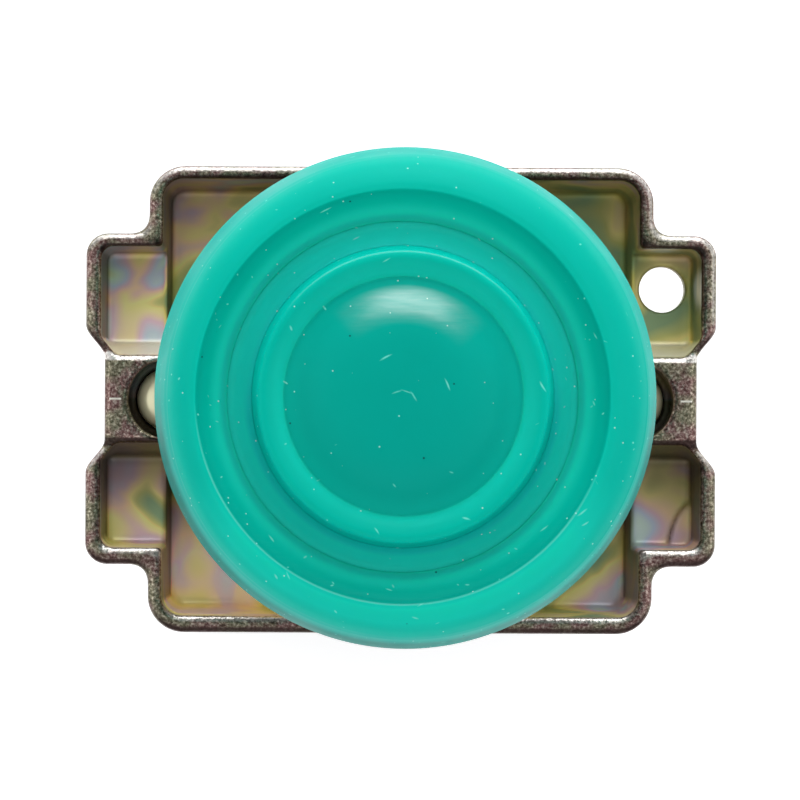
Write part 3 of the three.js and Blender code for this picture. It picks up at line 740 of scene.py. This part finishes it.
def cast(name, depth, xs, ys, zs, finish):
    """Meshes a shape given by its depth: one vertex in each cell that the skin passes through,
    then each vertex is moved on to the skin itself."""
    grid = np.meshgrid(xs, ys, zs, indexing="ij")
    value = depth(*grid)
    inside = value < 0
    nx, ny, nz = value.shape

    def corner(a, i, j, k):
        return a[i:nx - 1 + i, j:ny - 1 + j, k:nz - 1 + k]

    corners = [(i, j, k) for i in (0, 1) for j in (0, 1) for k in (0, 1)]
    filled = sum(corner(inside, *c).astype(np.int8) for c in corners)
    live = (filled > 0) & (filled < 8)
    total = np.zeros((live.sum(), 3))
    hits = np.zeros(live.sum())
    for a in corners:
        for axis in range(3):
            if a[axis]:
                continue
            b = tuple(1 if n == axis else a[n] for n in range(3))
            va, vb = corner(value, *a)[live], corner(value, *b)[live]
            crosses = (va < 0) != (vb < 0)
            t = np.where(crosses, va / np.where(va == vb, 1, va - vb), 0)
            for n in range(3):
                pa, pb = corner(grid[n], *a)[live], corner(grid[n], *b)[live]
                total[:, n] += np.where(crosses, pa + t * (pb - pa), 0)
            hits += crosses
    spots = total / hits[:, None]
    numbers = -np.ones(live.shape, int)
    numbers[live] = np.arange(live.sum())
    faces = []
    for axis in range(3):
        u, v = [(1, 2), (2, 0), (0, 1)][axis]
        low = [slice(None)] * 3
        high = [slice(None)] * 3
        low[axis], high[axis] = slice(0, -1), slice(1, None)
        for n in (u, v):
            low[n] = high[n] = slice(1, -1)
        a, b = inside[tuple(low)], inside[tuple(high)]
        at = np.argwhere(a != b)
        solid = a[a != b]
        at[:, u] += 1
        at[:, v] += 1
        quad = []
        for du, dv in ((-1, -1), (0, -1), (0, 0), (-1, 0)):
            cell = at.copy()
            cell[:, u] += du
            cell[:, v] += dv
            quad.append(numbers[cell[:, 0], cell[:, 1], cell[:, 2]])
        quad = np.stack(quad, 1)
        quad[~solid] = quad[~solid][:, ::-1]
        faces.append(quad)
    faces = np.concatenate(faces)
    step = 0.01
    for _ in range(3):
        here = depth(*spots.T)
        slope = np.stack([
            (depth(*(spots + d).T) - depth(*(spots - d).T)) / (2 * step) for d in np.eye(3) * step], 1)
        size = np.maximum((slope ** 2).sum(1), 0.05)
        spots -= np.clip(here / size, -0.08, 0.08)[:, None] * slope
    return new_piece(name, spots.tolist(), faces.tolist(), finish)


def spaced(*stops):
    """Grid lines from stop to stop, each given as a place and the step up to the next one."""
    lines = []
    for (a, step), (b, _) in zip(stops, stops[1:]):
        lines.append(np.linspace(a, b, max(1, round((b - a) / step)), endpoint=False))
    return np.concatenate(lines + [[stops[-1][0]]])


# Lumps left by tumbling, as a height, a fine grain and broad zones of tint.
tumbled, given, put = effect_group(
    "tumbled_skin",
    [("Place", "NodeSocketVector", None), ("Size", "NodeSocketFloat", 3400.0)],
    [("Height", "NodeSocketFloat"), ("Grain", "NodeSocketFloat"), ("Zone", "NodeSocketFloat")],
)
lumps = noise(tumbled, given.outputs["Place"], given.outputs["Size"], 3.0, Roughness=0.65)
dents = add(tumbled, "ShaderNodeTexVoronoi", {
    "Vector": given.outputs["Place"], "Scale": given.outputs["Size"]}, feature="SMOOTH_F1")
both_lumps = maths(tumbled, "MULTIPLY_ADD", dents.outputs["Distance"], 0.7, lumps.outputs["Fac"])
grain = noise(tumbled, given.outputs["Place"], 5200.0, 2.0, Roughness=0.7)
zone = noise(tumbled, given.outputs["Place"], 620.0, 2.0)
tumbled.links.new(both_lumps, put.inputs["Height"])
tumbled.links.new(grain.outputs["Fac"], put.inputs["Grain"])
tumbled.links.new(zone.outputs["Fac"], put.inputs["Zone"])

passivated, tree, surface, place = new_finish("passivated_zinc")
skin = add(tree, "ShaderNodeGroup", node_tree=tumbled)
tree.links.new(place, skin.inputs["Place"])
rough_part = stored(tree, "tumbled")
swirl = noise(tree, place, 210.0, 1.5, Roughness=0.5, Distortion=0.5).outputs["Fac"]
floor_tone = colour_run(tree, maths(tree, "ADD", swirl, stored(tree, "drift")), [
    (0.26, srgb(132, 156, 120)), (0.35, srgb(184, 182, 116)), (0.42, srgb(232, 214, 142)),
    (0.48, srgb(232, 198, 160)), (0.54, srgb(208, 176, 186)), (0.6, srgb(180, 190, 204)),
    (0.67, srgb(190, 212, 190)), (0.76, srgb(206, 198, 130))])
# The floors' tint is scaled by the painted light and shade by place.
floor_tone = add(tree, "ShaderNodeVectorMath", {
    0: floor_tone, 3: stored(tree, "ground")}, operation="SCALE").outputs[0]
mauve = colour_run(tree, skin.outputs["Grain"], [
    (0.3, srgb(78, 52, 50)), (0.45, srgb(124, 94, 90)), (0.55, srgb(152, 126, 120)),
    (0.7, srgb(208, 190, 178))])
green = colour_run(tree, skin.outputs["Grain"], [
    (0.3, srgb(74, 72, 54)), (0.45, srgb(118, 114, 94)), (0.55, srgb(148, 142, 120)),
    (0.7, srgb(206, 200, 176))])
rim_tone = mixed(tree, ranged(tree, skin.outputs["Zone"], 0.42, 0.58), mauve, green)
# Light laid on the rim's far edges, broken up by the grain, and shade laid on its near ones.
lit = stored(tree, "lit")
beads = ranged(tree, skin.outputs["Grain"], 0.38, 0.54, 0.5)
bright = maths(tree, "MULTIPLY", ranged(tree, lit, 0.08, 0.55, 0.0, 0.95), beads)
rim_tone = mixed(tree, bright, rim_tone, srgb(250, 246, 240))
rim_tone = mixed(tree, ranged(tree, lit, -0.05, -0.5, 0.0, 0.93), rim_tone, srgb(50, 36, 34))
tone = mixed(tree, rough_part, floor_tone, rim_tone)
# Light laid on the lands' far flanks, and shade laid on their near flanks, on the side and far
# walls and in the clamp holes.
film = stored(tree, "film")
tone = mixed(tree, ranged(tree, film, 0.0, 1.0, 0.0, 0.95), tone, srgb(255, 250, 228))
tone = mixed(tree, ranged(tree, film, 0.0, -1.0, 0.0, 0.85), tone, srgb(74, 68, 46))
# A short index line on each land, painted near-white: a painted highlight on the small raised cast tick,
# which is not modelled.
spot = add(tree, "ShaderNodeSeparateXYZ", {"Vector": place}).outputs
along = maths(tree, "COMPARE", maths(tree, "ABSOLUTE", spot[0]), 0.0181, 0.00037)
beside = maths(tree, "COMPARE", spot[1], 0.0, 0.00006)
in_front = maths(tree, "GREATER_THAN", spot[2], -0.0068)
line = maths(tree, "MULTIPLY", maths(tree, "MULTIPLY", along, beside), in_front)
tone = mixed(tree, line, tone, srgb(250, 246, 232))
tree.links.new(tone, surface.inputs["Base Color"])
tree.links.new(ranged(tree, rough_part, to_low=0.4, to_high=0.9), surface.inputs["Metallic"])
tree.links.new(ranged(tree, rough_part, to_low=0.42, to_high=0.3), surface.inputs["Roughness"])
height = maths(tree, "MULTIPLY", skin.outputs["Height"], ranged(tree, rough_part, to_low=0.06))
bumped(tree, surface, height, 1.0, 0.00005)

fine, plain = 0.2, 0.42
casting = cast(
    "collar_casting", collar_depth,
    spaced((-20.5, fine), (-10.6, plain), (10.6, fine), (20.5, fine)),
    spaced((-15.3, fine), (15.3, fine)),
    spaced((-16.0, 0.3), (-9.0, 0.2), (-6.1, 0.2)),
    passivated,
)
spots = np.array([v.co for v in casting.data.vertices]) / MM
outer = ease(-0.5, -0.15, collar_outline(spots[:, 0], spots[:, 1]))
top = ease(-7.2, -6.75, spots[:, 2])
x, y, z = spots.T
ay = np.abs(y)
facing = np.array([v.normal for v in casting.data.vertices])
inner = (1 - top) * (1 - outer)
on_land = (np.abs(x) > 13) * inner
# Painted light on the lands' far flanks, and painted shade on their near flanks, on the side and far
# walls and in the clamp holes.
flank = ease(2.6, 2.9, y) * (1 - ease(3.6, 4.0, y)) * on_land
walls = (1 - ease(0.35, 0.85, facing[:, 2])) * (1 - ease(0.1, 0.6, facing[:, 1])) * inner
walls *= 1 - 0.45 * ease(0.3, 0.8, -facing[:, 1])
walls *= np.where((x > 0) & (y > 3), 0.6, 1.0)
walls = np.maximum(walls, ease(2.6, 2.8, -y) * (1 - ease(3.6, 4.4, -y)) * on_land)
in_hole = np.hypot(np.abs(x) - clamp_offset, y) < 2.62
walls = np.maximum(walls, in_hole * ease(6.7, 6.95, -z))
# Which way the rim's edge faces: 1 to the far side and -1 to the near side.
lean = (collar_outline(x, y + 0.05) - collar_outline(x, y - 0.05)) / 0.1
lean_x = (collar_outline(x + 0.05, y) - collar_outline(x - 0.05, y)) / 0.1
lean = np.clip(lean + 0.5 * lean_x * (x > 0) * ease(3.5, 6.0, y), -1, 1)
inset = collar_outline(x, y)
half = np.where(lean > 0, 0.9, 1.2)
# Painted light on the rim's far edges and painted shade on its near ones, a painted dark line round the
# outer edge, and painted light and shade on the lands' far and near edges.
lit = lean * np.clip(1 + 2 * inset / half, -1, 1) * ease(-1.25, -1.05, inset) * ease(-9.0, -7.6, z)
rim_edge = ease(-0.16, -0.02, inset)
lit = lit * (1 - rim_edge) - 0.3 * rim_edge
land_edge = ease(2.35, 2.65, ay) * (1 - ease(2.85, 3.1, ay)) * (np.abs(x) > 13) * top
lit = np.where(land_edge > np.abs(lit), np.sign(y) * land_edge, lit)
# Painted light and shade on the floors by place, with shade under the far walls and on the near side of
# the lands, and how far their tint has moved.
in_ear = np.abs(x) > 15.1
ground = np.where(y > 0, 1.75 - 0.85 * np.where(in_ear, ease(4.5, 9.6, y), ease(5.0, 13.8, y)),
                  0.5 + 1.2 * np.where(in_ear, ease(4.2, 8.6, ay), ease(6.5, 12.0, ay)))
drift = -0.07 * (ground - 1) - 0.1 * ((x > 0) & (y > 0))
drift += np.where((x < 0) & (y > 0) & in_ear, 0.08, 0) - 0.03 * ((x < 0) & (y < 0) & ~in_ear)
ground *= np.where(in_ear & (x > 0), 0.8, 1.0) * np.where((x < 0) & (y < 0) & ~in_ear, 1.35, 1.0)
store(casting, tumbled=np.maximum(outer, top), film=np.where(flank > walls, flank, -walls), lit=lit,
      ground=ground, drift=drift)
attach(casting, "collar")
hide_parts("mounting_bracket")

# ---- Clamp screws ----
# Two steel screws, yellow zinc plated, through the lands. Their domed tips press on the back of
# the panel, and their slotted heads are driven from behind.

yellow_plate = bare_metal("yellow_plate", srgb(240, 234, 196), 0.3, 1500.0)
yellow_plate.node_tree.nodes["Principled BSDF"].inputs["Metallic"].default_value = 0.5
plain_plate = bare_metal("plain_plate", srgb(200, 200, 196), 0.26, 1500.0)


def slotted_screw(name, x, y, radius, tip, head_top, head_radius, head_height, dome, finish):
    """A screw along Z with a threaded shank, a domed tip and a slotted head. The tip and the head's
    front face are given as z."""
    back = head_top - head_height
    section = [(0, back), (head_radius - 0.35, back)]
    section += bend([(head_radius - 0.3, back), (head_radius - 0.08, back + 0.1),
                     (head_radius, back + 0.35)], 3)
    section += rounded([(head_radius, head_top, 0.08), (radius, head_top, 0.02)], 2)
    pitch = 0.5
    z = head_top + 0.5
    while z < tip - dome - pitch:
        section += [(radius, z), (radius - 0.22, z + pitch * 0.45), (radius, z + pitch * 0.9)]
        z += pitch
    section += bend([(radius, tip - dome), (0.93 * radius, tip - 0.62 * dome),
                     (0.72 * radius, tip - 0.26 * dome), (0.4 * radius, tip - 0.06 * dome),
                     (0.08 * radius, tip)], 4)
    section += [(0, tip)]
    screw = turned(name, section, finish, 48, axis=(x, y))
    half = 0.16 * head_radius
    slot = block_piece("slot", (x - head_radius - 1, y - half, back - 1),
                       (x + head_radius + 1, y + half, back + 0.45 * head_height), finish, 0)
    combine(screw, [slot], "DIFFERENCE")
    return shade(screw, 30)


for side, sign in (("left", -1), ("right", 1)):
    clamp = slotted_screw("clamp_" + side, clamp_offset * sign, 0, 1.98, -6.9, -21.5, 2.4, 2.4, 1.3,
                          yellow_plate)
    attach(clamp, "clamp_" + side)
    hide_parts("clamp_screw_" + side)

# ---- Contact block ----
# A moulded case behind the collar, hooked on by a peg and held by one screw. Wires go in at its
# two ends, and a screwed saddle washer clamps each one on its contact strip.

black_moulding = soft_moulding("black_moulding", srgb(34, 35, 37), 0.45)


def solid_box(x, y, z, low, high, radius=0.0):
    """Depth of a box between two corners."""
    d = [np.abs(c - (l + h) / 2) - (h - l) / 2 + radius for c, l, h in zip((x, y, z), low, high)]
    far = np.sqrt(sum(np.maximum(n, 0) ** 2 for n in d))
    return far + np.minimum(np.maximum(np.maximum(d[0], d[1]), d[2]), 0) - radius


terminal = (12.3, -10.4)


def housing_depth(x, y, z):
    ax = np.abs(x)
    body = solid_box(x, y, z, (-14.9, -14.5, -43.45), (14.9, -2.9, -15.8), 0.4)
    body = either(body, solid_box(x, y, z, (-11.8, -14.5, -43.45), (11.8, -0.8, -15.8), 0.4), 0.1)
    body = either(body, solid_box(x, y, z, (-19.4, -9.9, -19.4), (19.4, -2.9, -15.8), 0.4), 0.3)
    body = np.minimum(body, solid_box(x, y, z, (-18.2, -9.2, -16.8), (-15.6, -5.2, -13.5), 0.25))
    body = both(body, -solid_box(x, y, z, (-8.6, -16.0, -41.9), (8.6, -2.2, -17.6), 0.2), 0.1)
    body = both(body, -solid_box(x, y, z, (-9.35, -16.0, -42.65), (9.35, -13.15, -16.85), 0.2), 0.1)
    body = both(body, -solid_box(ax, y, z, (9.8, -13.4, -45.0), (16.0, -7.4, -31.2), 0.2), 0.2)
    body = both(body, -solid_box(ax, y, z, (7.8, -13.0, -32.4), (10.8, -7.8, -31.2)), 0.05)
    shank = np.maximum(np.hypot(ax - terminal[0], y - terminal[1]) - 1.9, z + 22.9)
    body = both(body, -np.maximum(shank, -32.5 - z), 0.1)
    body = both(body, 1.35 - np.hypot(x - fixing_place[0], y - fixing_place[1]), 0.1)
    body = both(body, -solid_box(x, y, z, (-2.55, -10.15, -19.0), (2.55, -4.45, -14.0)), 0.1)
    # Grip ribs across one long face.
    rib = np.abs((z + 30.0) % 2.0 - 1.0) - 0.35
    ribbed = np.maximum(np.maximum(rib, ax - 8.0), np.abs(z + 30.0) - 8.0)
    return both(body, -np.maximum(ribbed, -1.15 - y), 0.12)


housing = cast(
    "block_case", housing_depth,
    spaced((-19.9, 0.3), (19.9, 0.3)),
    spaced((-15.0, 0.3), (-0.4, 0.3)),
    spaced((-44.0, 0.3), (-13.1, 0.3)),
    black_moulding,
)
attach(housing, "collar")
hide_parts("block_housing")


def cover_depth(x, y, z):
    plate = solid_box(x, y, z, (-9.3, -14.5, -42.6), (9.3, -13.2, -16.9), 0.3)
    panel = solid_box(x, y, z, (-7.6, -15.5, -40.8), (7.6, -14.25, -18.7), 0.4)
    grip = solid_box(x, y, z, (-3.0, -15.5, -30.0), (3.0, -14.0, -28.6), 0.3)
    return both(both(plate, -panel, 0.1), -grip, 0.1)


cover = cast("block_lid", cover_depth, spaced((-9.6, 0.25), (9.6, 0.25)),
             spaced((-14.9, 0.2), (-12.9, 0.2)), spaced((-43.0, 0.25), (-16.5, 0.25)), black_moulding)
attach(cover, "collar")
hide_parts("block_cover")

fixing = slotted_screw("block_fixing", *fixing_place, 1.2, -12.0, -19.45, 1.9, 1.8, 0.6, plain_plate)
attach(fixing, "collar")
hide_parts("block_screw")


def plunger_depth(x, y, z):
    column = solid_box(x, y, z, (-2.4, -10.0, -31.0), (2.4, -4.6, -10.85), 0.3)
    shoulder = solid_box(x, y, z, (-3.4, -10.0, -19.1), (3.4, -4.6, -17.8), 0.15)
    window = solid_box(x, y, z, (-4.0, -8.9, -28.0), (4.0, -5.7, -22.5), 0.1)
    stub = np.maximum(np.hypot(x, y - block_axis) - 1.2, np.abs(z + 32.0) - 1.5)
    return either(either(both(column, -window, 0.1), shoulder, 0.1), stub, 0.2)


push_rod = cast("push_rod", plunger_depth, spaced((-3.8, 0.2), (3.8, 0.2)),
                spaced((-10.4, 0.2), (-4.2, 0.2)), spaced((-33.9, 0.25), (-10.5, 0.25)), green_moulding)
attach(push_rod, "block_plunger")
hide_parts("contact_plunger")

# ---- Contacts and terminals ----
# A brass bridge with two silver rivets meets a fixed brass strip at each side. Each strip runs
# out to a plated screw and its saddle washer.

strip_brass = bare_metal("strip_brass", srgb(206, 168, 98), 0.28, 1600.0)
silver_rivet = bare_metal("silver_rivet", srgb(222, 221, 216), 0.2, 2000.0)
strip_back, strip_front = -32.3, -31.3
bridge_back, bridge_front = -27.9, -27.0
rivet_offset, rivet_height = 5.8, 0.6
terminal_hole = 1.85


def flat_piece(name, outline, low, high, finish, hole=None, bevel=0.12):
    """Stamped sheet: a flat outline with a thickness, a round hole and broken edges."""
    shape = bmesh.new()
    bottom = shape.faces.new([shape.verts.new((x * MM, y * MM, low * MM)) for x, y in outline])
    raised = bmesh.ops.extrude_face_region(shape, geom=[bottom])["geom"]
    for v in raised:
        if isinstance(v, bmesh.types.BMVert):
            v.co.z = high * MM
    bmesh.ops.recalc_face_normals(shape, faces=shape.faces)
    bmesh.ops.bevel(shape, geom=list(shape.edges), offset=bevel * MM, segments=2, profile=0.5,
                    affect="EDGES")
    piece = piece_of(shape, name, finish)
    if hole:
        hx, hy, hr = hole
        drill = turned("drill", [(0, low - 1), (hr, low - 1), (hr, high + 1), (0, high + 1)],
                       finish, 40, axis=(hx, hy))
        combine(piece, [drill], "DIFFERENCE")
    return shade(piece)


def rivet(name, x, low, high, finish, up):
    """A contact rivet with a slightly crowned face."""
    r, crown = 1.2, 0.12
    if up:
        section = [(0, low), (r, low)] + bend([(r, high - 0.2), (r - 0.15, high - crown),
                                               (r * 0.5, high - 0.03), (0.05, high)], 3) + [(0, high)]
    else:
        section = [(0, low)] + bend([(0.05, low), (r * 0.5, low + 0.03), (r - 0.15, low + crown),
                                     (r, low + 0.2)], 3) + [(r, high), (0, high)]
    return shade(turned(name, section, finish, 40, axis=(x, block_axis)))


bridge = flat_piece("moving_strip", [(-7.2, -8.7), (7.2, -8.7), (7.2, -5.9), (-7.2, -5.9)],
                    bridge_back, bridge_front, strip_brass)
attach(bridge, "moving_bridge")
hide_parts("contact_bridge")

for side, sign in (("left", -1), ("right", 1)):
    x, y = sign * terminal[0], terminal[1]
    strip = flat_piece("strip_" + side, [(sign * sx, sy) for sx, sy in (
        (4.3, -5.6), (4.3, -10.4), (6.6, -12.8), (14.6, -12.8), (14.6, -8.0), (7.6, -8.0), (7.6, -5.6))],
        strip_back, strip_front, strip_brass, hole=(x, y, terminal_hole))
    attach(strip, "collar")
    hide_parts("fixed_contact_" + side)

    fixed = rivet("fixed_rivet_" + side, sign * rivet_offset, strip_front, strip_front + rivet_height,
                  silver_rivet, True)
    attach(fixed, "collar")
    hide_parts("fixed_tip_" + side)

    moving = rivet("moving_rivet_" + side, sign * rivet_offset, bridge_back - rivet_height, bridge_back,
                   silver_rivet, False)
    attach(moving, "moving_bridge")
    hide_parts("bridge_tip_" + side)

    screw = slotted_screw("terminal_" + side, x, y, 1.6, -27.4, -37.65, 2.3, 2.0, 0.6, plain_plate)
    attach(screw, "terminal_" + side)
    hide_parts("terminal_screw_" + side)

    saddle = flat_piece("saddle_" + side, [
        (x + a, y + b) for a, b in ((-2.3, -2.6), (2.3, -2.6), (2.3, 2.6), (-2.3, 2.6))],
        -37.6, -36.8, plain_plate, hole=(x, y, terminal_hole))
    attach(saddle, "terminal_" + side)
    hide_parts("terminal_washer_" + side)

# ---- Studio ----
# A plain pale table, one large soft light above the far edge and weaker fill all round. The
# camera looks straight down on the button.

floor_finish, tree, surface, place = new_finish("pale_table")
surface.inputs["Base Color"].default_value = (0.92, 0.92, 0.92, 1)
surface.inputs["Roughness"].default_value = 0.9
surface.inputs["Specular IOR Level"].default_value = 0.0
surface.inputs["Emission Color"].default_value = (1, 1, 1, 1)
surface.inputs["Emission Strength"].default_value = 0.5
wide, table = 1500, -43.6
table_top = new_piece("table_top", [(-wide, -wide, table), (wide, -wide, table), (wide, wide, table),
                                    (-wide, wide, table)], [(0, 1, 2, 3)], floor_finish)

world = bpy.data.worlds.new("studio")
world.use_nodes = True
world.node_tree.nodes["Background"].inputs["Color"].default_value = (0.96, 0.98, 1.0, 1)
world.node_tree.nodes["Background"].inputs["Strength"].default_value = 0.5
bpy.context.scene.world = world


def soft_light(name, bearing, rise, far, size, level):
    """A soft panel facing the object. Bearing and rise are in degrees, far and size in metres."""
    b, e = math.radians(bearing), math.radians(rise)
    spot = Vector((math.cos(b) * math.cos(e), math.sin(b) * math.cos(e), math.sin(e))) * far
    lamp = bpy.data.lights.new(name, "AREA")
    lamp.shape = "RECTANGLE"
    lamp.size, lamp.size_y = size
    lamp.energy = level * math.pi * size[0] * size[1]
    light = placed(name, lamp)
    light.location = spot
    light.rotation_euler = (-spot).to_track_quat("-Z", "Y").to_euler()


soft_light("far_panel", 85, 32, 0.8, (0.56, 0.5), 2.6)
soft_light("far_low_panel", 85, 7, 0.8, (0.6, 0.2), 4.0)
soft_light("left_panel", 180, 42, 0.8, (0.7, 0.5), 0.9)
soft_light("right_panel", 0, 42, 0.8, (0.7, 0.5), 0.9)
soft_light("near_panel", 270, 48, 0.8, (0.8, 0.5), 0.8)

camera_data = bpy.data.cameras.new("camera")
camera_data.sensor_width = 36
camera_data.lens = 163.3
camera_data.clip_start = 0.01
camera = placed("camera", camera_data)
camera.location = (-6.5 * MM, -3.0 * MM, 223.5 * MM)
camera.rotation_euler = (0, 0, 0.005)
camera_data.shift_x, camera_data.shift_y = 0.1274, 0.0586
bpy.context.scene.camera = camera
bpy.context.scene.view_settings.view_transform = "Standard"
